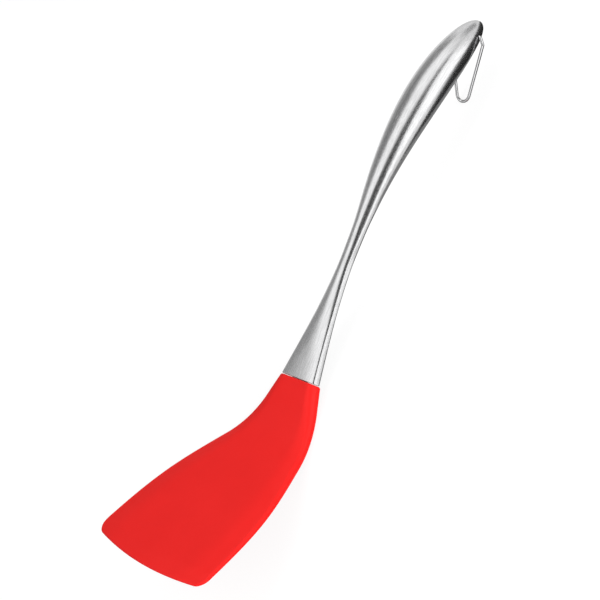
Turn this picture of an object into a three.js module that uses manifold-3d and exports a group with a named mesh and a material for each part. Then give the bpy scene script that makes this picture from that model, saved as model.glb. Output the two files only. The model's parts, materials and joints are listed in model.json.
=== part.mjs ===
// A silicone kitchen turner: a moulded head on a stiff steel core, a hollow steel handle of two shells,
// and a wire loop that swings at the tip. Lengths are in millimetres and +Z is up.
// It is drawn with its blade flat and its length along +X, then laid on its heel and its loop.

import * as THREE from 'three';
import { mergeVertices } from 'three/addons/utils/BufferGeometryUtils.js';
import Module from 'manifold-3d';

const wasm = await Module();
wasm.setup();
const { degToRad, lerp, smoothstep, clamp } = THREE.MathUtils;

// Side line of the turner, from the front corners of the blade to the tip of the handle
const bladeFlat = 84;
const heelRadius = 49;
const bendAngle = degToRad(36);
const neckLength = 14;
const handleStraight = 105;
const handleArc = 126;
const droopAngle = degToRad(27);

// Silicone head
const bladeWidth = 89;
const frontBow = 5;
const cornerRadius = 6;
const frontThickness = 1.8;
const lipThickness = 3.2;
const lipLength = 8;
const heelThickness = 5.8;
const collarProudSide = 0.7; // how far the collar stands out beside the handle's mouth
const collarProudFace = 0.5; // and above and below it
const collarChamfer = 0.5;
const edgeRadius = 2.8;
const sidePull = 53.5; // how far back the blade keeps its full width
const neckPull = 67.5; // how far forward the neck keeps its taper
const neckTaper = degToRad(19.1);

// Steel core inside the head, with a tang that reaches into the handle
const coreThickness = 1;
const coreSetback = 16;
const coreCorner = 8;
const edgeCover = 4; // silicone beside the core
const tangMargin = 0.5; // tang beside its rivet heads
const lockHoleRadius = 4;
const lockHoleAt = 42;
const lockHoleSpacing = 32;
const throatHoleAt = 68;

// Steel handle
const wall = 0.8;
const mouthWidth = 26.8;
const mouthHeight = 6.7;
const mouthFlare = 1.43;
const waistAt = 68.5;
const waistWidth = 8.2;
const waistHeight = 6.3;
const swellAt = 182;
const swellWidth = 24.8;
const swellHeight = 18.3;
const tipTaper = 2.1;
const tipPower = 2.3;
const tipSolid = 4;
const tipFlat = 0.05;
const mouthSquareness = 6;
const gripSquareness = 2.1;
const squareFrom = 46; // where the corners of the flare start to melt into the grip
const squareTo = 94;
const mouthCrown = 0.08; // how far the faces fall off towards the sides, as a share of their height
const waistCrown = 0.45;
const crownAt = 48;
const crownEnd = 125;

// Plug in the handle's mouth, and the two rivets that hold the tang in it
const plugLength = 22;
const rivetAt = 11;
const rivetSpacing = 7;
const rivetRadius = 1.2;
const rivetHeadRadius = 2;
const rivetHeadHeight = 0.5;

// Hanging loop and the sleeve that its ends turn in
const wireDiameter = 1.8;
const pivotFromTip = 12;
const loopReach = 36.9;
const loopEndRadius = 4.7;
const shoulderWidth = 24;
const shoulderDrop = 4.3;
const wireBend = 1.8;
const pinInside = 5;
const loopSwing = degToRad(28); // from straight down, with the blade flat
const sleeveWall = 0.8;
const holeClearance = 0.5;

// Gaps between neighbouring pieces
const fit = 0.3;
const seam = 0.3;

// How much of a thin edge its rounding takes, where it starts, and how finely the curved skins are cut
const edgeShare = 0.8;
const edgeStart = 0.125;
const acrossSteps = 6;
const edgeSteps = 3;
const cornerRows = 4;
const bladeRows = 6;
const heelRows = 6;
const neckRows = 2;
const flareRows = 7;
const gripRows = 9;
const tipRows = 7;
const plugRows = 3;
const searchSteps = 40;
const handleSides = 24;
const wireSides = 8;
const bendSteps = 4;
const holeSides = 16;

// Sizes taken from the pieces that they meet
const collarWidth = mouthWidth + 2 * collarProudSide;
const collarThickness = mouthHeight + 2 * collarProudFace;
const tangWidth = rivetSpacing + 2 * (rivetHeadRadius + tangMargin);

// Places along the side line
const bendEnd = bladeFlat + heelRadius * bendAngle;
const junction = bendEnd + neckLength;
const handleLength = handleStraight + handleArc;
const pivotAt = handleLength - pivotFromTip;
const wireRadius = wireDiameter / 2;
const underside = -collarThickness / 2;
const runs = [
  { length: bladeFlat, turn: 0 },
  { length: heelRadius * bendAngle, turn: bendAngle },
  { length: neckLength + handleStraight, turn: 0 },
  { length: handleArc, turn: -droopAngle },
];

// Frame at s along the side line: x forward along it, y across, z out of the top
function frameAt(s) {
  let x = 0;
  let z = 0;
  let angle = 0;
  let left = s;
  for (const run of runs) {
    const step = run === runs.at(-1) ? left : Math.min(left, run.length);
    const turn = (run.turn * step) / run.length;
    const chord = turn === 0 ? step : (step * Math.sin(turn / 2)) / (turn / 2);
    x += chord * Math.cos(angle + turn / 2);
    z += chord * Math.sin(angle + turn / 2);
    angle += turn;
    left -= step;
  }
  return new THREE.Matrix4().makeRotationY(-angle).setPosition(x, 0, z);
}

function place(s, y, n) {
  return new THREE.Vector3(0, y, n).applyMatrix4(frameAt(s));
}

function spaced(from, to, steps) {
  return Array.from({ length: steps + 1 }, (_, k) => lerp(from, to, k / steps));
}

// Places from several runs, in order and each once
function inOrder(...places) {
  return [...new Set(places.flat())].sort((a, b) => a - b);
}

// Closed skin over rings that run front to back, with strips from side to side over each end
function loft(rings) {
  const count = rings[0].length;
  const last = rings.length - 1;
  const index = [];
  const at = (row, k) => row * count + (k % count);
  const cap = (a, b, c) => {
    index.push(at(0, a), at(0, c), at(0, b));
    index.push(at(last, a), at(last, b), at(last, c));
  };
  for (let k = 0; k < count; k += 1) {
    for (let row = 0; row < last; row += 1) {
      index.push(at(row, k), at(row, k + 1), at(row + 1, k + 1));
      index.push(at(row, k), at(row + 1, k + 1), at(row + 1, k));
    }
  }
  for (let k = 0; k < count / 2 - 1; k += 1) {
    cap(k, k + 1, count - k - 2);
    cap(k, count - k - 2, count - k - 1);
  }
  return new THREE.BufferGeometry().setFromPoints(rings.flat()).setIndex(index);
}

function solid(geometry) {
  const bare = geometry.clone();
  bare.deleteAttribute('normal');
  bare.deleteAttribute('uv');
  const merged = mergeVertices(bare);
  return new wasm.Manifold(new wasm.Mesh({
    numProp: 3,
    vertProperties: merged.attributes.position.array,
    triVerts: new Uint32Array(merged.index.array),
  }));
}

function geometryOf(body) {
  const mesh = body.getMesh();
  const geometry = new THREE.BufferGeometry();
  geometry.setAttribute('position', new THREE.BufferAttribute(mesh.vertProperties, 3));
  geometry.setIndex(new THREE.BufferAttribute(mesh.triVerts, 1));
  return geometry;
}

// A turned shape whose axis stands along the top's direction at s, and y to the side
function standing(geometry, s, y) {
  const aside = new THREE.Matrix4().makeTranslation(0, y, 0);
  return geometry.rotateX(Math.PI / 2).applyMatrix4(frameAt(s).multiply(aside));
}

// Head: half-width, thickness and sections at d behind the front corners
const sideCurve = new THREE.CubicBezierCurve(
  new THREE.Vector2(cornerRadius, bladeWidth / 2),
  new THREE.Vector2(cornerRadius + sidePull, bladeWidth / 2),
  new THREE.Vector2(junction - neckPull, collarWidth / 2 + neckPull * Math.tan(neckTaper)),
  new THREE.Vector2(junction, collarWidth / 2),
);

function sideHalfWidth(d) {
  let low = 0;
  let high = 1;
  for (let turn = 0; turn < searchSteps; turn += 1) {
    const t = (low + high) / 2;
    if (sideCurve.getPoint(t).x < d) low = t;
    else high = t;
  }
  return sideCurve.getPoint(low).y;
}

// How far a corner of this radius pulls the side in, at d behind the front edge
function cornerPull(d, radius) {
  const short = Math.max(0, radius - d);
  return radius - Math.sqrt(radius * radius - short * short);
}

function headHalfWidth(d) {
  return sideHalfWidth(Math.max(d, cornerRadius)) - cornerPull(d, cornerRadius);
}

function headThickness(d) {
  const lip = lerp(frontThickness, lipThickness, clamp(d / lipLength, 0, 1));
  const body = (heelThickness - lipThickness) * clamp((d - lipLength) / (bladeFlat - lipLength), 0, 1);
  return lip + body + (collarThickness - heelThickness) * smoothstep(d, bladeFlat, junction);
}

// Flat section with round edges between two heights, from the left edge over the top and back under
function slabRing(d, half, low, high) {
  const middle = (low + high) / 2;
  const radius = Math.min(edgeRadius, (edgeShare * (high - low)) / 2);
  const flat = half - radius;
  const rise = (high - low) / 2 - radius;
  const ring = [];
  const corner = (side, across, angle) => {
    const out = across + radius * Math.cos(angle);
    const up = rise + radius * Math.sin(angle);
    ring.push([side * out, middle + side * up]);
  };
  for (const side of [1, -1]) {
    for (let k = 0; k < edgeSteps; k += 1) corner(side, flat, (Math.PI / 2) * (k / edgeSteps));
    for (let k = 0; k < acrossSteps; k += 1) corner(side, lerp(flat, -flat, k / acrossSteps), Math.PI / 2);
    for (let k = 0; k <= edgeSteps; k += 1) corner(side, -flat, (Math.PI / 2) * (1 + k / edgeSteps));
  }
  const fade = Math.max(0, 1 - d / bladeFlat);
  return ring.map(([y, n]) => {
    const across = Math.min(1, Math.abs(y) / (bladeWidth / 2));
    return place(d - frontBow * (1 - across * across) * fade, y, n);
  });
}

function siliconeHead() {
  const edgeRound = frontThickness / 2;
  const rows = inOrder(
    spaced(edgeRound * edgeStart, edgeRound, edgeSteps),
    spaced(edgeRound, cornerRadius, cornerRows),
    spaced(lipLength, bladeFlat, bladeRows),
    spaced(bladeFlat, bendEnd, heelRows),
    spaced(bendEnd, junction - collarChamfer, neckRows),
  );
  const rings = rows.map((d) => {
    const half = headThickness(d) / 2;
    const round = half - cornerPull(d, edgeRound) * (half / edgeRound);
    return slabRing(d, headHalfWidth(d), underside + half - round, underside + half + round);
  });
  const high = underside + collarThickness - collarChamfer;
  rings.push(slabRing(junction, collarWidth / 2 - collarChamfer, underside + collarChamfer, high));
  const posts = lockHoles(lockHoleRadius - fit);
  const cavity = posts.reduce((body, post) => body.subtract(post), solid(coreSkin(fit)));
  return geometryOf(solid(loft(rings)).subtract(cavity));
}

// Core: a plate that follows the head inside its edges, then narrows to the tang
function coreHalfWidth(d) {
  const plate = headHalfWidth(Math.min(d, junction)) - edgeCover;
  const narrow = smoothstep(d, bladeFlat, junction);
  return lerp(plate, tangWidth / 2, narrow) - cornerPull(Math.max(0, d - coreSetback), coreCorner);
}

function coreSkin(grow) {
  const rows = inOrder(
    spaced(coreSetback, coreSetback + coreCorner, cornerRows),
    spaced(coreSetback + coreCorner, bladeFlat, bladeRows / 2),
    spaced(bladeFlat, bendEnd, heelRows),
    spaced(bendEnd, junction, neckRows),
    junction + plugLength,
  );
  const half = coreThickness / 2 + grow;
  const ring = (d, at) => {
    const middle = underside + headThickness(Math.min(d, junction)) / 2;
    return slabRing(at, coreHalfWidth(d) + grow, middle - half, middle + half);
  };
  const rings = rows.map((d) => ring(d, d));
  if (grow > 0) {
    rings.unshift(ring(coreSetback, coreSetback - grow));
    rings.push(ring(junction + plugLength, junction + plugLength + grow));
  }
  return loft(rings);
}

function lockHoles(radius) {
  const spots = [
    [lockHoleAt, lockHoleSpacing / 2],
    [lockHoleAt, -lockHoleSpacing / 2],
    [throatHoleAt, 0],
  ];
  return spots.map(([d, y]) => {
    const post = new THREE.CylinderGeometry(radius, radius, 2 * collarThickness, holeSides);
    return solid(standing(post, d, y));
  });
}

function corePlate() {
  const cuts = [...lockHoles(lockHoleRadius), ...[-1, 1].map((side) => solid(rivet(side, fit)))];
  return geometryOf(cuts.reduce((body, cut) => body.subtract(cut), solid(coreSkin(0))));
}

// Handle: half sizes and sections at t behind the mouth
function handleHalf(t, mouth, waist, swell, flare) {
  const narrowing = clamp(1 - t / waistAt, 0, 1) ** flare;
  const widening = smoothstep(t, waistAt, swellAt);
  const past = clamp((t - swellAt) / (handleLength - swellAt), 0, 1);
  const full = waist + (mouth - waist) * narrowing + (swell - waist) * widening;
  return (full / 2) * (1 - past ** tipTaper) ** (1 / tipPower);
}

function handleHalfWidth(t) {
  return handleHalf(t, mouthWidth, waistWidth, swellWidth, mouthFlare);
}

function handleHalfHeight(t) {
  return handleHalf(t, mouthHeight, waistHeight, swellHeight, 1);
}

function squareness(t) {
  return lerp(mouthSquareness, gripSquareness, smoothstep(t, squareFrom, squareTo));
}

function crown(t) {
  const rising = lerp(mouthCrown, waistCrown, smoothstep(t, 0, crownAt));
  return rising * (1 - smoothstep(t, crownAt, crownEnd));
}

function handleRing(t, inset) {
  const a = handleHalfWidth(t) - inset;
  const b = handleHalfHeight(t) - inset;
  const power = 2 / squareness(t);
  const bulge = (c) => Math.sign(c) * Math.abs(c) ** power;
  return Array.from({ length: handleSides }, (_, k) => {
    const angle = (2 * Math.PI * (k + 0.5)) / handleSides;
    const across = bulge(Math.cos(angle));
    const fall = 1 - crown(t) * across * across;
    return place(junction + t, a * across, b * fall * bulge(Math.sin(angle)));
  });
}

// Height of the handle's face, inset, at y to the side
function faceHeight(t, y, inset) {
  const across = y / (handleHalfWidth(t) - inset);
  const round = (1 - across ** squareness(t)) ** (1 / squareness(t));
  return (handleHalfHeight(t) - inset) * round * (1 - crown(t) * across * across);
}

// Rows crowd together towards the end of the tip
function handleRows(from, to) {
  const tip = spaced(0, Math.PI / 2, tipRows).map((angle) => lerp(swellAt, to, Math.sin(angle)));
  return inOrder(spaced(from, waistAt, flareRows), spaced(waistAt, swellAt, gripRows), tip);
}

function handleTube() {
  const tipEnd = handleLength - tipFlat;
  const outer = solid(loft(handleRows(fit, tipEnd).map((t) => handleRing(t, 0))));
  const inner = solid(loft(handleRows(-fit, handleLength - tipSolid).map((t) => handleRing(t, wall))));
  const hole = new THREE.CylinderGeometry(
    wireRadius + holeClearance,
    wireRadius + holeClearance,
    2 * swellWidth,
    holeSides,
  );
  return outer.subtract(inner).subtract(solid(hole.applyMatrix4(frameAt(junction + pivotAt))));
}

// Everything on one side of the seam, as far as the shell reaches
function handleSide(side) {
  const low = side > 0 ? seam / 2 : -swellHeight;
  const high = side > 0 ? swellHeight : -seam / 2;
  const rows = handleRows(-fit, handleLength + fit);
  return solid(loft(rows.map((t) => [
    place(junction + t, -swellWidth, low),
    place(junction + t, swellWidth, low),
    place(junction + t, swellWidth, high),
    place(junction + t, -swellWidth, high),
  ])));
}

function mouthPlug() {
  const rings = spaced(fit, plugLength, plugRows).map((t) => handleRing(t, wall + fit));
  const cuts = [coreSlot(), ...[-1, 1].map((side) => solid(rivet(side, fit)))];
  return geometryOf(cuts.reduce((body, cut) => body.subtract(cut), solid(loft(rings))));
}

// Straight slot for the tang, right through the plug
function coreSlot() {
  const half = coreThickness / 2 + fit;
  const rows = [junction - fit, junction + plugLength + fit];
  return solid(loft(rows.map((d) => slabRing(d, tangWidth / 2 + fit, -half, half))));
}

// Rivet through plug and tang, or with grow the hole for it
function rivet(side, grow) {
  const half = faceHeight(rivetAt, rivetSpacing / 2 + rivetHeadRadius, wall + fit) + grow;
  const neck = half - rivetHeadHeight - 2 * grow;
  const head = rivetHeadRadius + grow;
  const shank = rivetRadius + grow;
  const profile = [
    [0, -half],
    [head, -half],
    [head, -neck],
    [shank, -neck],
    [shank, neck],
    [head, neck],
    [head, half],
    [0, half],
  ].map(([r, h]) => new THREE.Vector2(r, h));
  const turned = new THREE.LatheGeometry(profile, holeSides);
  return standing(turned, junction + rivetAt, (side * rivetSpacing) / 2);
}

// Sleeve across the inside of the tip, as long as the narrowest place that it touches allows
function pivotSleeve() {
  const inner = wireRadius + fit;
  const outer = inner + sleeveWall;
  const t = pivotAt + outer;
  const rise = outer / (handleHalfHeight(t) - wall);
  const reach = (1 - rise ** squareness(t)) ** (1 / squareness(t));
  const half = (handleHalfWidth(t) - wall) * reach - fit;
  const profile = [
    [inner, -half],
    [outer, -half],
    [outer, half],
    [inner, half],
    [inner, -half],
  ].map(([r, h]) => new THREE.Vector2(r, h));
  return new THREE.LatheGeometry(profile, holeSides).applyMatrix4(frameAt(junction + pivotAt));
}

// Corners joined by straight lines, each rounded with its radius
function roundedLine(corners) {
  const points = [corners[0].at];
  for (let k = 1; k < corners.length - 1; k += 1) {
    const { at, radius } = corners[k];
    const back = corners[k - 1].at.clone().sub(at).normalize();
    const ahead = corners[k + 1].at.clone().sub(at).normalize();
    const half = Math.acos(back.dot(ahead)) / 2;
    const centre = back.clone().add(ahead).setLength(radius / Math.sin(half)).add(at);
    const start = at.clone().addScaledVector(back, radius / Math.tan(half));
    const sweep = (Math.PI - 2 * half) * Math.sign(ahead.cross(back));
    const steps = Math.ceil((bendSteps * Math.abs(sweep)) / (Math.PI / 3));
    for (let step = 0; step <= steps; step += 1) {
      points.push(start.clone().rotateAround(centre, (sweep * step) / steps));
    }
  }
  points.push(corners.at(-1).at);
  return points;
}

// Wire loop that hangs straight down from its pivot: two pins, two shoulders and two legs into a round end
function hangingLoop() {
  const shoulder = shoulderWidth / 2;
  const endCentre = loopReach - loopEndRadius - shoulderDrop;
  const slant = Math.atan2(shoulder, endCentre) - Math.asin(loopEndRadius / Math.hypot(shoulder, endCentre));
  const legsMeet = shoulderDrop + shoulder / Math.tan(slant);
  const outside = handleHalfWidth(pivotAt) + wireRadius;
  const half = [
    { at: new THREE.Vector2(outside - pinInside, 0), radius: 0 },
    { at: new THREE.Vector2(outside, 0), radius: wireBend },
    { at: new THREE.Vector2(shoulder, -shoulderDrop), radius: wireBend },
  ];
  const mirrored = half.map(({ at, radius }) => ({ at: new THREE.Vector2(-at.x, at.y), radius })).reverse();
  const end = { at: new THREE.Vector2(0, -legsMeet), radius: loopEndRadius };
  const line = roundedLine([...half, end, ...mirrored]);
  return loft(line.map((point, k) => wireRing(point, line[k - 1] ?? point, line[k + 1] ?? point)));
}

function wireRing(point, before, after) {
  const along = after.clone().sub(before).normalize();
  return Array.from({ length: wireSides }, (_, k) => {
    const angle = (2 * Math.PI * (k + 0.5)) / wireSides;
    const out = wireRadius * Math.cos(angle);
    const lift = wireRadius * Math.sin(angle);
    return new THREE.Vector3(lift, point.x - along.y * out, point.y + along.x * out);
  });
}

// How far the turner tips back until its heel and the end of its loop both touch the table
function restAngle() {
  const heel = new THREE.Vector2(bladeFlat, heelRadius);
  const pivot = place(junction + pivotAt, 0, 0);
  const end = new THREE.Vector2(-Math.sin(loopSwing), -Math.cos(loopSwing)).multiplyScalar(loopReach);
  const span = end.add(new THREE.Vector2(pivot.x, pivot.z)).sub(heel);
  const difference = heelRadius - underside - wireRadius;
  return Math.atan2(span.y, span.x) + Math.asin(difference / span.length());
}

const silicone = new THREE.MeshStandardMaterial({ color: 0xe82a28, roughness: 0.55, metalness: 0 });
const brushed = new THREE.MeshStandardMaterial({ color: 0xc6c8ca, roughness: 0.32, metalness: 1 });
const plainSteel = new THREE.MeshStandardMaterial({ color: 0xaeb1b4, roughness: 0.4, metalness: 1 });
const wire = new THREE.MeshStandardMaterial({ color: 0xd2d4d6, roughness: 0.22, metalness: 1 });
const nylon = new THREE.MeshStandardMaterial({ color: 0x2a2b2d, roughness: 0.7, metalness: 0 });

const turner = new THREE.Group();

function add(name, geometry, material) {
  const mesh = new THREE.Mesh(geometry, material);
  mesh.name = name;
  turner.add(mesh);
  return mesh;
}

const tube = handleTube();
add('silicone_head', siliconeHead(), silicone);
add('core_plate', corePlate(), plainSteel);
add('mouth_plug', mouthPlug(), nylon);
add('tang_rivet_left', rivet(1, 0), plainSteel);
add('tang_rivet_right', rivet(-1, 0), plainSteel);
add('handle_upper_shell', geometryOf(tube.intersect(handleSide(1))), brushed);
add('handle_lower_shell', geometryOf(tube.intersect(handleSide(-1))), brushed);
add('pivot_sleeve', pivotSleeve(), plainSteel);
const loop = add('hanging_loop', hangingLoop(), wire);
loop.position.copy(place(junction + pivotAt, 0, 0));
loop.rotation.y = loopSwing;

// The origin is on the table, under the middle of the turner as it lies
turner.rotation.y = restAngle();
const lying = new THREE.Group().add(turner);
const box = new THREE.Box3().setFromObject(lying, true);
turner.position.set(-(box.min.x + box.max.x) / 2, 0, -box.min.z);

export default lying;
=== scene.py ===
"""A silicone kitchen turner on a white table: skins, finishes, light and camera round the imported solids.

The shape formulas work in millimetres along the turner. s runs along its side line, from the front corners of
the blade to the tip of the handle, y runs across it and n stands out of its top. On the head s is called d,
and t runs along the handle from its mouth.
"""

import json
import math

import bpy
from mathutils import Matrix, Vector


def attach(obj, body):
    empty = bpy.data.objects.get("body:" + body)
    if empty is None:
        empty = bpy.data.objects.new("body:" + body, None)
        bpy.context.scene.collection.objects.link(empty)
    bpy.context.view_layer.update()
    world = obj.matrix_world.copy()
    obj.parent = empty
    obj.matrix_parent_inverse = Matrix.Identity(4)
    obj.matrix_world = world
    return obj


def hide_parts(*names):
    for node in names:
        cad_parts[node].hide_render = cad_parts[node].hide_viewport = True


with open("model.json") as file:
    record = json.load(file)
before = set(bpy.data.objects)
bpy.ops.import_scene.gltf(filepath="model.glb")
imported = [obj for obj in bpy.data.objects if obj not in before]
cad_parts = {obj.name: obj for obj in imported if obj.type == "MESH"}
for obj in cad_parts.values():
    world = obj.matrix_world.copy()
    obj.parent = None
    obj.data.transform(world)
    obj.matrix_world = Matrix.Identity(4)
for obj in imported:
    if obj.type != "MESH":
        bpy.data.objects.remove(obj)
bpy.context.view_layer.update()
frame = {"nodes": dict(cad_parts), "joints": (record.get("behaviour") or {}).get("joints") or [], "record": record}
mounts = {mount["name"]: mount for mount in frame["record"]["mounts"]}

MM = 0.001

# Side line of the turner
BLADE_FLAT = 84.0
HEEL_RADIUS = 49.0
BEND_ANGLE = math.radians(36)
NECK_LENGTH = 14.0
HANDLE_STRAIGHT = 105.0
HANDLE_ARC = 126.0
DROOP_ANGLE = math.radians(27)

# Silicone head
BLADE_WIDTH = 89.0
FRONT_BOW = 5.0
CORNER_RADIUS = 6.0
FRONT_THICKNESS = 1.8
LIP_THICKNESS = 3.2
LIP_LENGTH = 8.0
HEEL_THICKNESS = 5.8
COLLAR_WIDTH = 28.2
COLLAR_THICKNESS = 7.7
COLLAR_ROUND = 0.9
EDGE_RADIUS = 2.8
EDGE_SHARE = 0.8
SIDE_PULL = 53.5
NECK_PULL = 67.5
NECK_TAPER = math.radians(19.1)
SIDE_FALL = 1.3
FALL_FROM = 0.62
FALL_EVEN = 0.82
THIN_FALL = 0.3

# Steel handle
WALL = 0.8
MOUTH_WIDTH = 26.8
MOUTH_HEIGHT = 6.7
MOUTH_FLARE = 1.43
MOUTH_GAP = 0.3
MOUTH_ROUND = 0.35
WAIST_AT = 68.5
WAIST_WIDTH = 8.2
WAIST_HEIGHT = 6.3
SWELL_AT = 182.0
SWELL_WIDTH = 24.8
SWELL_HEIGHT = 18.3
TIP_TAPER = 2.1
TIP_POWER = 2.3
TIP_FLAT = 0.05
MOUTH_SQUARENESS = 6.0
GRIP_SQUARENESS = 2.1
SQUARE_FROM = 46.0
SQUARE_TO = 94.0
MOUTH_CROWN = 0.08
WAIST_CROWN = 0.45
CROWN_AT = 48.0
CROWN_END = 125.0
SEAM_GAP = 0.03

# Hanging loop
WIRE_RADIUS = 0.9
HOLE_RADIUS = 1.4
PIVOT_FROM_TIP = 12.0
LOOP_REACH = 36.9
LOOP_END_RADIUS = 4.7
SHOULDER_WIDTH = 24.0
SHOULDER_DROP = 4.3
WIRE_BEND = 1.8
PIN_INSIDE = 5.0

# How finely the skins are cut
FRONT_START = 0.2
FRONT_ROWS = 8
CORNER_ROWS = 12
LIP_ROWS = 3
BLADE_ROWS = 40
HEEL_ROWS = 28
NECK_ROWS = 8
COLLAR_ROWS = 6
MOUTH_ROWS = 5
FLARE_ROWS = 60
GRIP_ROWS = 70
TIP_ROWS = 48
HOLE_ROWS = 20
EDGE_STEPS = 10
ACROSS_STEPS = 56
SHELL_STEPS = 72
WIRE_SIDES = 20
BEND_STEP = math.radians(6)
SHARP_ANGLE = math.radians(38)
SEARCH_STEPS = 40
SKIN_INSET = 0.02

# The photograph's camera
CAMERA_EYE = Vector((-157.2, -526.2, 529.05)) * MM
CAMERA_TARGET = Vector((-13.9, 10.1, 26.75)) * MM
CAMERA_ROLL = math.radians(-50.66)
CAMERA_LENS = 82.6
CAMERA_SENSOR = 36.0

# Places along the side line
bend_end = BLADE_FLAT + HEEL_RADIUS * BEND_ANGLE
junction = bend_end + NECK_LENGTH
handle_length = HANDLE_STRAIGHT + HANDLE_ARC
pivot_at = handle_length - PIVOT_FROM_TIP
underside = SKIN_INSET - COLLAR_THICKNESS / 2
runs = [
    (BLADE_FLAT, 0.0),
    (HEEL_RADIUS * BEND_ANGLE, BEND_ANGLE),
    (NECK_LENGTH + HANDLE_STRAIGHT, 0.0),
    (HANDLE_ARC, -DROOP_ANGLE),
]


def lerp(a, b, share):
    return a + (b - a) * share


def clamp(value):
    return min(1.0, max(0.0, value))


def smoothstep(value, start, end):
    share = clamp((value - start) / (end - start))
    return share * share * (3 - 2 * share)


def spaced(start, end, steps):
    return [lerp(start, end, k / steps) for k in range(steps + 1)]


def in_order(*places):
    """Places from several runs, in order and each once."""
    return sorted({round(place, 6) for run in places for place in run})


def side_frame(s):
    """Matrix at s along the side line: x along it, y across and z out of the top."""
    x = z = angle = 0.0
    left = s
    for length, bend in runs:
        step = left if (length, bend) == runs[-1] else min(left, length)
        turn = bend * step / length
        chord = step if turn == 0 else step * math.sin(turn / 2) / (turn / 2)
        x += chord * math.cos(angle + turn / 2)
        z += chord * math.sin(angle + turn / 2)
        angle += turn
        left -= step
    return Matrix.Translation((x, 0, z)) @ Matrix.Rotation(-angle, 4, "Y")


def row_placement():
    """Matrix from the turner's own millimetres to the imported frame, from its joint and its flat mount."""
    out = Vector(mounts["blade_underside"]["axis"])
    tilt = Matrix.Rotation(math.atan2(-out.x, -out.z), 4, "Y") @ Matrix.Scale(MM, 4)
    pivot = side_frame(junction + pivot_at).translation
    return Matrix.Translation(loop_pivot - tilt @ pivot) @ tilt


loop_pivot = Vector(frame["joints"][0]["pos_m"])
row = row_placement()


class Skin:
    """A closed skin over rings of points, with strips from side to side over both ends."""

    def __init__(self, name):
        self.name = name
        self.points = []
        self.grain = []
        self.count = 0

    def add_ring(self, placed, grain):
        self.count = len(placed)
        self.points.extend(placed)
        self.grain.extend(grain)

    def faces(self):
        count = self.count
        last = len(self.points) - count
        found = []
        for start in range(0, last, count):
            for k in range(count):
                ahead = (k + 1) % count
                found.append((start + k, start + ahead, start + count + ahead, start + count + k))
        for k in range(count // 2 - 1):
            strip = (k, k + 1, count - k - 2, count - k - 1)
            found.append(strip[::-1])
            found.append(tuple(last + corner for corner in strip))
        return found

    def build(self, material, body, slot, *nodes):
        mesh = bpy.data.meshes.new(self.name)
        mesh.from_pydata(self.points, [], self.faces())
        grain = mesh.attributes.new("grain", "FLOAT_VECTOR", "POINT")
        grain.data.foreach_set("vector", [value for spot in self.grain for value in spot])
        mesh.polygons.foreach_set("use_smooth", [True] * len(mesh.polygons))
        mesh.set_sharp_from_angle(angle=SHARP_ANGLE)
        mesh.materials.append(material)
        piece = bpy.data.objects.new(self.name, mesh)
        bpy.context.scene.collection.objects.link(piece)
        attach(piece, body)
        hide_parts(*nodes)


# Silicone head
def bezier(points, t):
    while len(points) > 1:
        points = [lerp(a, b, t) for a, b in zip(points, points[1:])]
    return points[0]


SIDE_D = [CORNER_RADIUS, CORNER_RADIUS + SIDE_PULL, junction - NECK_PULL, junction]
SIDE_HALF = [
    BLADE_WIDTH / 2,
    BLADE_WIDTH / 2,
    COLLAR_WIDTH / 2 + NECK_PULL * math.tan(NECK_TAPER),
    COLLAR_WIDTH / 2,
]


def side_half_width(d):
    low, high = 0.0, 1.0
    for _ in range(SEARCH_STEPS):
        t = (low + high) / 2
        if bezier(SIDE_D, t) < d:
            low = t
        else:
            high = t
    return bezier(SIDE_HALF, low)


def corner_pull(d, radius):
    """How far a corner of this radius pulls an edge in, at d behind its front."""
    short = max(0.0, radius - d)
    return radius - math.sqrt(radius * radius - short * short)


def head_half_width(d):
    return side_half_width(max(d, CORNER_RADIUS)) - corner_pull(d, CORNER_RADIUS)


def head_thickness(d):
    lip = lerp(FRONT_THICKNESS, LIP_THICKNESS, clamp(d / LIP_LENGTH))
    body = (HEEL_THICKNESS - LIP_THICKNESS) * clamp((d - LIP_LENGTH) / (BLADE_FLAT - LIP_LENGTH))
    return lip + body + (COLLAR_THICKNESS - HEEL_THICKNESS) * smoothstep(d, BLADE_FLAT, junction)


def slab_section(half, low, high):
    """Flat section with round edges, from one side over the top to the other and back underneath."""
    middle = (low + high) / 2
    radius = min(EDGE_RADIUS, EDGE_SHARE * (high - low) / 2)
    flat = half - radius
    rise = (high - low) / 2 - radius
    quarter = math.pi / 2
    path = [(flat, angle) for angle in spaced(0, quarter, EDGE_STEPS)[:-1]]
    path += [(across, quarter) for across in spaced(flat, -flat, ACROSS_STEPS)[:-1]]
    path += [(-flat, angle) for angle in spaced(quarter, 2 * quarter, EDGE_STEPS)]
    section = []
    for side in (1, -1):
        for across, angle in path:
            y = across + radius * math.cos(angle)
            n = rise + radius * math.sin(angle)
            section.append((side * y, middle + side * n))
    return section


def sloped(section, low, high):
    """The section with its top falling off towards both sides, gently at first and then evenly."""
    half = max(y for y, n in section)
    fall = min(SIDE_FALL, THIN_FALL * (high - low))
    easing = FALL_EVEN - FALL_FROM
    made = []
    for y, n in section:
        share = abs(y) / half
        eased = clamp((share - FALL_FROM) / easing)
        drop = easing / 2 * eased * eased + max(0.0, share - FALL_EVEN)
        drop *= fall / (easing / 2 + 1 - FALL_EVEN)
        made.append((y, n - drop * (n - low) / (high - low)))
    return made


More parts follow.
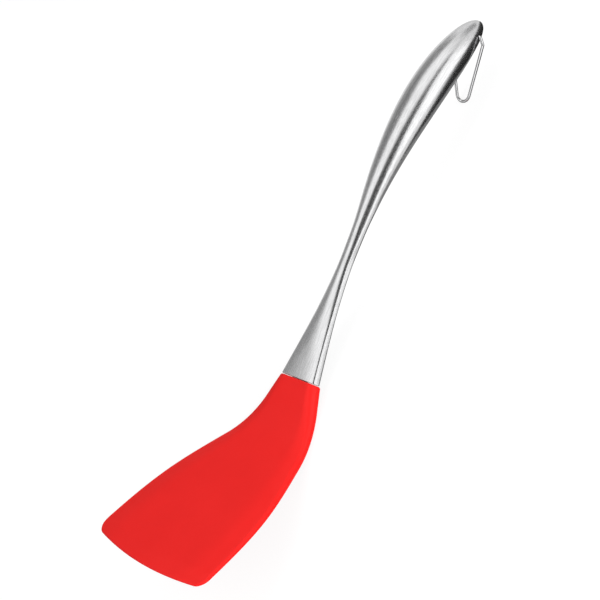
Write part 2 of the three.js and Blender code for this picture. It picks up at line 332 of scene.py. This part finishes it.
def silicone_head(material):
    edge_round = FRONT_THICKNESS / 2
    rows = in_order(
        [edge_round * (1 - math.cos(angle)) for angle in spaced(FRONT_START, math.pi / 2, FRONT_ROWS)],
        spaced(edge_round, CORNER_RADIUS, CORNER_ROWS),
        spaced(CORNER_RADIUS, LIP_LENGTH, LIP_ROWS),
        spaced(LIP_LENGTH, BLADE_FLAT, BLADE_ROWS),
        spaced(BLADE_FLAT, bend_end, HEEL_ROWS),
        spaced(bend_end, junction - COLLAR_ROUND, NECK_ROWS),
        [junction - COLLAR_ROUND * (1 - math.sin(angle)) for angle in spaced(0, math.pi / 2, COLLAR_ROWS)],
    )
    skin = Skin("silicone_skin")
    for d in rows:
        thickness = head_thickness(d) - SKIN_INSET
        half = head_half_width(d)
        thin = (1 - corner_pull(d, edge_round) / edge_round) * thickness / 2
        rim = corner_pull(junction - d, COLLAR_ROUND)
        middle = underside + thickness / 2
        low, high = middle - thin + rim, middle + thin - rim
        section = sloped(slab_section(half - rim, low, high), low, high)
        fade = max(0.0, 1 - d / BLADE_FLAT)
        placed = []
        for y, n in section:
            across = min(1.0, abs(y) / (BLADE_WIDTH / 2))
            back = d - FRONT_BOW * (1 - across * across) * fade
            spot = Vector((back, y, n)) if back < 0 else side_frame(back) @ Vector((0, y, n))
            placed.append(row @ spot)
        skin.add_ring(placed, [(d * MM, y * MM, n * MM) for y, n in section])
    skin.build(material, "turner", "silicone", "silicone_head")


# Steel handle
def handle_half(t, mouth, waist, swell, flare):
    narrowing = clamp(1 - t / WAIST_AT) ** flare
    widening = smoothstep(t, WAIST_AT, SWELL_AT)
    past = clamp((t - SWELL_AT) / (handle_length - SKIN_INSET - SWELL_AT))
    full = waist + (mouth - waist) * narrowing + (swell - waist) * widening
    return full / 2 * (1 - past**TIP_TAPER) ** (1 / TIP_POWER)


def handle_half_width(t):
    return handle_half(t, MOUTH_WIDTH, WAIST_WIDTH, SWELL_WIDTH, MOUTH_FLARE)


def handle_half_height(t):
    return handle_half(t, MOUTH_HEIGHT, WAIST_HEIGHT, SWELL_HEIGHT, 1)


def squareness(t):
    return lerp(MOUTH_SQUARENESS, GRIP_SQUARENESS, smoothstep(t, SQUARE_FROM, SQUARE_TO))


def crown(t):
    """How far the handle's faces fall off towards its sides, as a share of their height."""
    rising = lerp(MOUTH_CROWN, WAIST_CROWN, smoothstep(t, 0, CROWN_AT))
    return rising * (1 - smoothstep(t, CROWN_AT, CROWN_END))


def seam_height(t):
    """Where a shell starts above the seam: it is notched round the hole for the loop's end."""
    off = t - pivot_at
    return max(SEAM_GAP / 2, math.sqrt(max(0.0, HOLE_RADIUS**2 - off * off)))


def signed_power(value, power):
    return math.copysign(abs(value) ** power, value)


def shell_arc(t, inset):
    """Half section of the handle above the seam, from one side over the top to the other."""
    a = handle_half_width(t) - inset
    b = handle_half_height(t) - inset
    square = squareness(t) / 2
    rise = seam_height(t) / (b * (1 - crown(t)))
    start = math.asin(min(1.0, rise) ** square)
    arc = []
    for even in spaced(0, math.pi, SHELL_STEPS):
        # Half way between even turns, which crowd the corners, and even directions, which crowd the faces
        direction = math.atan2(math.sin(even) ** square, signed_power(math.cos(even), square))
        angle = lerp(start, math.pi - start, (even + direction) / 2 / math.pi)
        across = signed_power(math.cos(angle), 1 / square)
        fall = 1 - crown(t) * across * across
        arc.append((a * across, b * fall * math.sin(angle) ** (1 / square)))
    return arc


def handle_shell(name, side, material, node):
    tip_end = handle_length - TIP_FLAT
    rows = in_order(
        [MOUTH_GAP + MOUTH_ROUND * (1 - math.cos(angle)) for angle in spaced(0, math.pi / 2, MOUTH_ROWS)],
        spaced(MOUTH_GAP + MOUTH_ROUND, WAIST_AT, FLARE_ROWS),
        spaced(WAIST_AT, SWELL_AT, GRIP_ROWS),
        [lerp(SWELL_AT, tip_end, math.sin(angle)) for angle in spaced(0, math.pi / 2, TIP_ROWS)],
        [pivot_at + HOLE_RADIUS * math.sin(angle) for angle in spaced(-math.pi / 2, math.pi / 2, HOLE_ROWS)],
    )
    skin = Skin(name)
    for t in rows:
        lip = corner_pull(t - MOUTH_GAP, MOUTH_ROUND)
        wall = min(WALL, handle_half_height(t) / 2)
        ring = shell_arc(t, lip) + shell_arc(t, wall)[::-1]
        ring = [(side * y, side * n) for y, n in ring]
        here = row @ side_frame(junction + t)
        skin.add_ring(
            [here @ Vector((0, y, n)) for y, n in ring],
            [((junction + t) * MM, y * MM, n * MM) for y, n in ring],
        )
    skin.build(material, "turner", "handle_steel", node)


# Hanging loop
def rounded_line(corners):
    """Corners joined by straight lines, each rounded with its radius."""
    line = [corners[0][0]]
    for (before, _), (corner, radius), (after, _) in zip(corners, corners[1:], corners[2:]):
        back = (before - corner).normalized()
        ahead = (after - corner).normalized()
        half = back.angle(ahead) / 2
        centre = corner + (back + ahead).normalized() * (radius / math.sin(half))
        start = corner + back * (radius / math.tan(half)) - centre
        sweep = math.copysign(math.pi - 2 * half, ahead.cross(back))
        for angle in spaced(0, sweep, math.ceil(abs(sweep) / BEND_STEP)):
            line.append(centre + Matrix.Rotation(angle, 2) @ start)
    line.append(corners[-1][0])
    return line


def loop_line():
    """Centre line of the wire, hanging straight down: across, and up from the pivot."""
    shoulder = SHOULDER_WIDTH / 2
    end_centre = LOOP_REACH - LOOP_END_RADIUS - SHOULDER_DROP
    slant = math.atan2(shoulder, end_centre) - math.asin(LOOP_END_RADIUS / math.hypot(shoulder, end_centre))
    legs_meet = SHOULDER_DROP + shoulder / math.tan(slant)
    outside = handle_half_width(pivot_at) + WIRE_RADIUS
    half = [
        (Vector((outside - PIN_INSIDE, 0)), 0),
        (Vector((outside, 0)), WIRE_BEND),
        (Vector((shoulder, -SHOULDER_DROP)), WIRE_BEND),
    ]
    mirrored = [(Vector((-at.x, at.y)), radius) for at, radius in reversed(half)]
    return rounded_line([*half, (Vector((0, -legs_meet)), LOOP_END_RADIUS), *mirrored])


def hanging_loop(material):
    hang = (Vector(mounts["hook"]["pos_m"]) - loop_pivot).normalized()
    swing = Matrix.Rotation(math.atan2(-hang.x, -hang.z), 4, "Y")
    here = Matrix.Translation(loop_pivot) @ swing @ Matrix.Scale(MM, 4)
    line = loop_line()
    radius = WIRE_RADIUS - SKIN_INSET
    skin = Skin("loop_wire")
    run = 0.0
    for k, spot in enumerate(line):
        before, after = line[max(k - 1, 0)], line[min(k + 1, len(line) - 1)]
        along = (after - before).normalized()
        run += (spot - line[max(k - 1, 0)]).length
        placed, grain = [], []
        for j in range(WIRE_SIDES):
            angle = 2 * math.pi * (j + 0.5) / WIRE_SIDES
            out, lift = radius * math.cos(angle), radius * math.sin(angle)
            placed.append(here @ Vector((lift, spot.x - along.y * out, spot.y + along.x * out)))
            grain.append((run * MM, out * MM, lift * MM))
        skin.add_ring(placed, grain)
    skin.build(material, "loop", "loop_wire", "hanging_loop")


# Finishes
NOISE_LOW = 0.3
NOISE_HIGH = 0.7
NOISE_ROUGHNESS = 0.6


class Finish:
    """A material whose nodes are added by name and joined to the shader's sockets."""

    def __init__(self, name, **sockets):
        self.material = bpy.data.materials.new(name)
        self.material.use_nodes = True
        self.tree = self.material.node_tree
        self.shader = self.tree.nodes["Principled BSDF"]
        for socket, value in sockets.items():
            self.shader.inputs[socket.replace("_", " ")].default_value = value

    def node(self, kind, **sockets):
        made = self.tree.nodes.new(kind)
        for socket, value in sockets.items():
            made.inputs[socket.replace("_", " ")].default_value = value
        return made

    def join(self, output, target):
        self.tree.links.new(output, target)

    def grain(self, scale):
        """The skin's own coordinates, stretched by a scale for each direction, per metre."""
        source = self.node("ShaderNodeAttribute")
        source.attribute_name = "grain"
        return self.stretched(source.outputs["Vector"], scale)

    def space(self, scale):
        """Object coordinates, for the pieces that have no grain of their own."""
        source = self.node("ShaderNodeTexCoord")
        return self.stretched(source.outputs["Object"], scale)

    def stretched(self, output, scale):
        mapping = self.node("ShaderNodeMapping", Scale=scale)
        self.join(output, mapping.inputs["Vector"])
        return mapping.outputs["Vector"]

    def noise(self, coordinates, detail):
        texture = self.node("ShaderNodeTexNoise", Scale=1.0, Detail=detail, Roughness=NOISE_ROUGHNESS)
        self.join(coordinates, texture.inputs["Vector"])
        return texture.outputs["Fac"]

    def between(self, share, low, high):
        """A number from low to high that follows a noise."""
        spread = self.node("ShaderNodeMapRange", From_Min=NOISE_LOW, From_Max=NOISE_HIGH)
        spread.inputs["To Min"].default_value = low
        spread.inputs["To Max"].default_value = high
        self.join(share, spread.inputs["Value"])
        return spread.outputs["Result"]

    def shades(self, share, dark, light):
        """A colour from dark to light that follows a noise."""
        ramp = self.node("ShaderNodeValToRGB")
        ramp.color_ramp.elements[0].position = NOISE_LOW
        ramp.color_ramp.elements[0].color = (*dark, 1)
        ramp.color_ramp.elements[1].position = NOISE_HIGH
        ramp.color_ramp.elements[1].color = (*light, 1)
        self.join(share, ramp.inputs["Fac"])
        self.join(ramp.outputs["Color"], self.shader.inputs["Base Color"])

    def rough(self, share, low, high):
        self.join(self.between(share, low, high), self.shader.inputs["Roughness"])

    def bump(self, height, strength, distance, under=None):
        bump = self.node("ShaderNodeBump", Strength=strength, Distance=distance)
        self.join(height, bump.inputs["Height"])
        if under:
            self.join(under, bump.inputs["Normal"])
        return bump.outputs["Normal"]

    def relief(self, normal):
        self.join(normal, self.shader.inputs["Normal"])


def silicone_finish():
    finish = Finish("red_silicone", IOR=1.41, Specular_IOR_Level=0.22)
    clouds = finish.noise(finish.grain((35, 35, 35)), 3)
    pores = finish.noise(finish.grain((2600, 2600, 2600)), 2)
    waves = finish.noise(finish.grain((140, 140, 140)), 1)
    finish.shades(clouds, (0.785, 0.0072, 0.0055), (0.82, 0.0088, 0.007))
    finish.rough(pores, 0.46, 0.6)
    soft = finish.bump(waves, 0.05, 0.0006)
    finish.relief(finish.bump(pores, 0.08, 0.00012, soft))
    return finish.material


def brushed_finish():
    finish = Finish("brushed_steel", Metallic=1.0)
    strokes = finish.noise(finish.grain((110, 1900, 1900)), 3)
    fine = finish.noise(finish.grain((110, 6500, 6500)), 2)
    finish.shades(strokes, (0.53, 0.53, 0.535), (0.69, 0.69, 0.695))
    finish.rough(fine, 0.2, 0.3)
    broad = finish.bump(strokes, 0.1, 0.00004)
    finish.relief(finish.bump(fine, 0.1, 0.00002, broad))
    return finish.material


def wire_finish():
    finish = Finish("bright_wire", Metallic=1.0)
    die_marks = finish.noise(finish.grain((90, 5200, 5200)), 2)
    finish.shades(die_marks, (0.58, 0.58, 0.585), (0.68, 0.68, 0.685))
    finish.rough(die_marks, 0.05, 0.09)
    finish.relief(finish.bump(die_marks, 0.08, 0.00002))
    return finish.material


def sheet_finish():
    finish = Finish("rolled_steel", Metallic=1.0)
    rolling = finish.noise(finish.space((160, 2400, 2400)), 3)
    finish.shades(rolling, (0.38, 0.385, 0.39), (0.48, 0.485, 0.49))
    finish.rough(rolling, 0.32, 0.45)
    finish.relief(finish.bump(rolling, 0.1, 0.00003))
    return finish.material


def nylon_finish():
    finish = Finish("black_nylon", IOR=1.53)
    grain = finish.noise(finish.space((1800, 1800, 1800)), 2)
    finish.shades(grain, (0.018, 0.018, 0.019), (0.028, 0.028, 0.03))
    finish.rough(grain, 0.55, 0.7)
    finish.relief(finish.bump(grain, 0.15, 0.00008))
    return finish.material


def refinish(material, *nodes):
    """Gives carried-over solids a finish in place of their plain one."""
    for node in nodes:
        slots = frame["nodes"][node].data.materials
        slots.clear()
        slots.append(material)


# Light, floor and camera
AIM = Vector((0.05, 0.0, 0.045))
FILL = 0.42
FLOOR_SIZE = 12.0
FLOOR_COLOUR = (0.2, 0.2, 0.2, 1)
FLOOR_GLOW = 0.85
CARD_LIFT = 0.0003
LAMP_LENGTH = 2.2


def seen_share(tree):
    """1 for the rays that show the background, to the eye or in a mirror, and 0 for the rest."""
    path = tree.nodes.new("ShaderNodeLightPath")
    total = path.outputs["Is Camera Ray"]
    for kind in ("Is Glossy Ray", "Is Transmission Ray"):
        add = tree.nodes.new("ShaderNodeMath")
        add.operation = "MAXIMUM"
        tree.links.new(total, add.inputs[0])
        tree.links.new(path.outputs[kind], add.inputs[1])
        total = add.outputs["Value"]
    return total


def white_world():
    world = bpy.data.worlds.new("white_studio")
    world.use_nodes = True
    tree = world.node_tree
    background = tree.nodes["Background"]
    background.inputs["Color"].default_value = (1, 1, 1, 1)
    spread = tree.nodes.new("ShaderNodeMapRange")
    spread.inputs["To Min"].default_value = FILL
    spread.inputs["To Max"].default_value = 1.0
    tree.links.new(seen_share(tree), spread.inputs["Value"])
    tree.links.new(spread.outputs["Result"], background.inputs["Strength"])
    bpy.context.scene.world = world


def box(x0, x1, y0, y1):
    return [(x0, y0), (x1, y0), (x1, y1), (x0, y1)]


def lifted(layers):
    """Matrix of a card that lies on the table, over others."""
    return Matrix.Translation((0, 0, layers * CARD_LIFT))


def flat_piece(name, corners):
    mesh = bpy.data.meshes.new(name)
    mesh.from_pydata([(x, y, 0) for x, y in corners], [], [range(len(corners))])
    piece = bpy.data.objects.new(name, mesh)
    bpy.context.scene.collection.objects.link(piece)
    return piece


def pale_floor():
    reach = FLOOR_SIZE / 2
    floor = flat_piece("floor", box(-reach, reach, -reach, reach))
    material = bpy.data.materials.new("pale_floor")
    material.use_nodes = True
    tree = material.node_tree
    shader = tree.nodes["Principled BSDF"]
    shader.inputs["Base Color"].default_value = FLOOR_COLOUR
    shader.inputs["Roughness"].default_value = 1.0
    shader.inputs["Specular IOR Level"].default_value = 0.0
    shader.inputs["Emission Color"].default_value = (1, 1, 1, 1)
    glow = tree.nodes.new("ShaderNodeMath")
    glow.operation = "MULTIPLY"
    glow.inputs[1].default_value = FLOOR_GLOW
    tree.links.new(seen_share(tree), glow.inputs[0])
    tree.links.new(glow.outputs["Value"], shader.inputs["Emission Strength"])
    floor.data.materials.append(material)


def over(angle, distance):
    """Matrix of a panel that runs beside the turner: 0 is behind it, 90 overhead and 180 in front."""
    turn = Matrix.Rotation(math.radians(angle - 90), 4, "X")
    return Matrix.Translation(AIM) @ turn @ Matrix.Translation((0, 0, distance))


def lamp(name, width, height, radiance, place):
    """An area lamp that lights the turner and does not show in the steel."""
    light = bpy.data.lights.new(name, "AREA")
    light.shape = "RECTANGLE"
    light.size = width
    light.size_y = height
    light.energy = radiance * math.pi * width * height
    piece = bpy.data.objects.new(name, light)
    piece.matrix_world = place
    piece.visible_camera = False
    piece.visible_glossy = False
    bpy.context.scene.collection.objects.link(piece)


def softbox(name, width, height, radiance, glow, place):
    """A lamp with a white front: the lamp lights the turner and the front shows in the steel."""
    lamp(name, width, height, radiance, place)
    card(name + "_front", glow, place, box(-width / 2, width / 2, -height / 2, height / 2))


def card(name, radiance, place, corners):
    """A card that only shows in reflections. Hung up, it stands for a photographer's flag or fill card; lying on
    the table, it is painted shade or a painted highlight that only the steel shows.
    """
    panel = flat_piece(name, corners)
    panel.matrix_world = place
    material = bpy.data.materials.new(name)
    material.use_nodes = True
    tree = material.node_tree
    glow = tree.nodes.new("ShaderNodeEmission")
    glow.inputs["Strength"].default_value = radiance
    tree.links.new(glow.outputs["Emission"], tree.nodes["Material Output"].inputs["Surface"])
    panel.data.materials.append(material)
    panel.visible_camera = False
    panel.visible_diffuse = False
    panel.visible_shadow = False
    panel.visible_transmission = False


def hung_cards():
    top = [(-0.9, -0.52), (-0.02, -0.55), (0.55, 0), (1.05, 0.1), (1.05, 0.26), (-0.9, 0.34)]
    front = [(-0.05, -0.19), (1.3, -0.19), (1.3, 0.33), (0.55, 0.31), (0.2, 0.085)]
    flare = [(-0.3, -0.1), (-0.05, -0.1), (0.04, 0.1), (-0.3, 0.1)]
    neck = [(-0.9, 0.21), (-0.9, -0.1), (-0.15, -0.1), (0.02, -0.19), (0.02, 0.21)]
    grip = [
        (0.02, 0.21),
        (0.02, -0.19),
        (0.1, -0.235),
        (0.38, -0.24),
        (0.5, -0.08),
        (1.0, -0.08),
        (1.0, 0.21),
    ]
    end = Matrix.Translation((1.25, 0.2, 0.4)) @ Matrix.Rotation(math.pi / 2, 4, "Y")
    card("top_flag", 0.06, over(112, 0.95), top)
    card("front_card", 1.6, over(130, 0.97), front)
    card("flare_flag", 0.08, over(145, 0.7), flare)
    card("neck_flag", 0.38, over(38, 0.85), neck)
    card("grip_flag", 0.25, over(38, 0.85), grip)
    card("back_card", 0.42, over(13, 1.0), box(-0.9, 1.0, -0.2, 0.2))
    card("end_card", 0.43, end, box(-0.25, 0.25, -0.28, 0.28))


# Painted reflections of the table: cards lying on it that only the steel shows, painted shade under and round the
# handle where its shadow falls, and one painted highlight beside the flare.
def painted_floor_reflections():
    tip = [
        (0.07, -0.042),
        (0.15, -0.085),
        (0.75, -0.3),
        (0.65, -0.04),
        (0.4, 0.0),
        (0.3, 0.018),
        (0.24, 0.024),
        (0.2, 0.022),
        (0.18, 0.014),
        (0.16, -0.008),
        (0.143, -0.021),
        (0.115, -0.026),
    ]
    shade = [(0.14, -0.1), (0.45, -0.5), (0.6, -0.2), (0.37, 0.03), (0.205, 0.018)]
    behind = [(0.18, 0.026), (0.22, 0.026), (0.6, 0.15), (0.6, 0.5), (0.3, 0.2)]
    # Painted shade seen only in the steel: near-black round the tip, dark grey beside it, paler grey behind it.
    card("tip_painted_deep_shade", 0.03, lifted(2), tip)
    card("tip_shade", 0.28, lifted(1), shade)
    card("tip_painted_half_shade", 0.8, lifted(1), behind)
    # Painted shadow of the handle on the table, seen only in the steel: under the grip and under the flare.
    card("grip_shade", 0.3, lifted(1), box(0.055, 0.17, -0.045, 0.018))
    card("flare_shade", 0.15, lifted(1), box(-0.06, 0.055, -0.018, 0.018))
    # A painted highlight on the table beside the flare, a glowing card seen only in the steel.
    card("flare_painted_highlight", 1.6, lifted(1), box(-0.06, 0.025, -0.045, -0.02))


def studio():
    white_world()
    pale_floor()
    softbox("top_light", LAMP_LENGTH, 0.67, 1.0, 1.42, over(67.5, 0.9))
    softbox("front_light", LAMP_LENGTH, 0.55, 1.5, 1.7, over(160, 0.8))
    lamp("low_light", LAMP_LENGTH, 0.25, 5.6, over(171, 0.8))
    hung_cards()
    painted_floor_reflections()


def photo_camera():
    data = bpy.data.cameras.new("photo_camera")
    data.sensor_width = CAMERA_SENSOR
    data.lens = CAMERA_LENS
    camera = bpy.data.objects.new("photo_camera", data)
    level = (CAMERA_EYE - CAMERA_TARGET).to_track_quat("Z", "Y").to_matrix().to_4x4()
    roll = Matrix.Rotation(CAMERA_ROLL, 4, "Z")
    camera.matrix_world = Matrix.Translation(CAMERA_EYE) @ level @ roll
    bpy.context.scene.collection.objects.link(camera)
    bpy.context.scene.camera = camera


brushed = brushed_finish()
rolled = sheet_finish()
silicone_head(silicone_finish())
handle_shell("handle_upper_skin", 1, brushed, "handle_upper_shell")
handle_shell("handle_lower_skin", -1, brushed, "handle_lower_shell")
hanging_loop(wire_finish())
refinish(rolled, "core_plate", "tang_rivet_left", "tang_rivet_right", "pivot_sleeve")
refinish(nylon_finish(), "mouth_plug")
studio()
photo_camera()
bpy.context.scene.view_settings.view_transform = "Standard"
